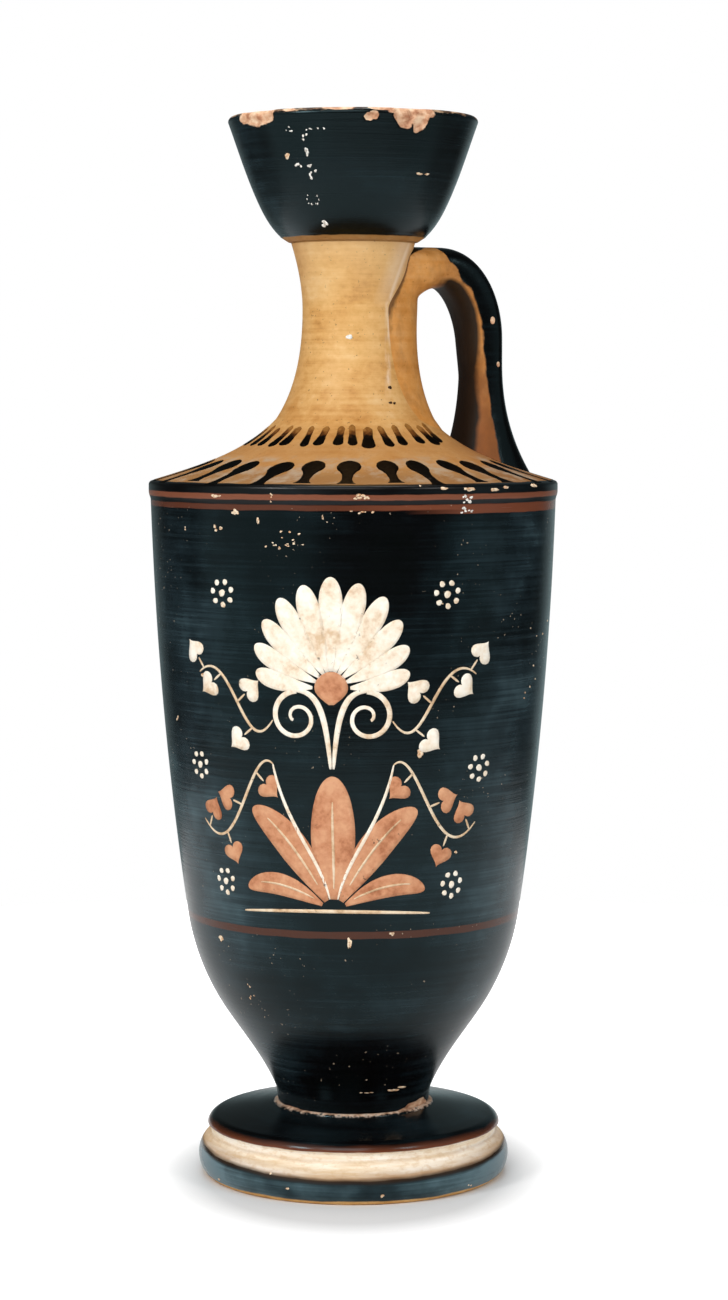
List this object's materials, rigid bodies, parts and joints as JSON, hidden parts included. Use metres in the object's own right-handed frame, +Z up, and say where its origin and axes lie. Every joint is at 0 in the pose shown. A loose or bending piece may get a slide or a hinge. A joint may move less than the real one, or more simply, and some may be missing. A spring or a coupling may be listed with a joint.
{
  "type": "shoulder lekythos oil jar",
  "caption": "Tall wheel-thrown clay oil jar with a cup mouth, narrow neck, sloping shoulder, strap handle and spreading foot.",
  "frame": {"origin": "centre of the foot's resting ring, on the wheel's axis", "axes": "+Z up along the wheel's axis, +X towards the handle"},
  "size_m": [0.116, 0.116, 0.3001],
  "materials": {
    "black_gloss": "glossy black slip, brushed on the wheel",
    "reserved_clay": "burnished orange clay",
    "added_clay": "matt white and pink clay slip"
  },
  "bodies": {
    "root": {"foot": "black_gloss", "body": "black_gloss", "shoulder": "reserved_clay", "neck": "reserved_clay", "mouth": "black_gloss", "handle": "black_gloss"}
  },
  "joints": []
}
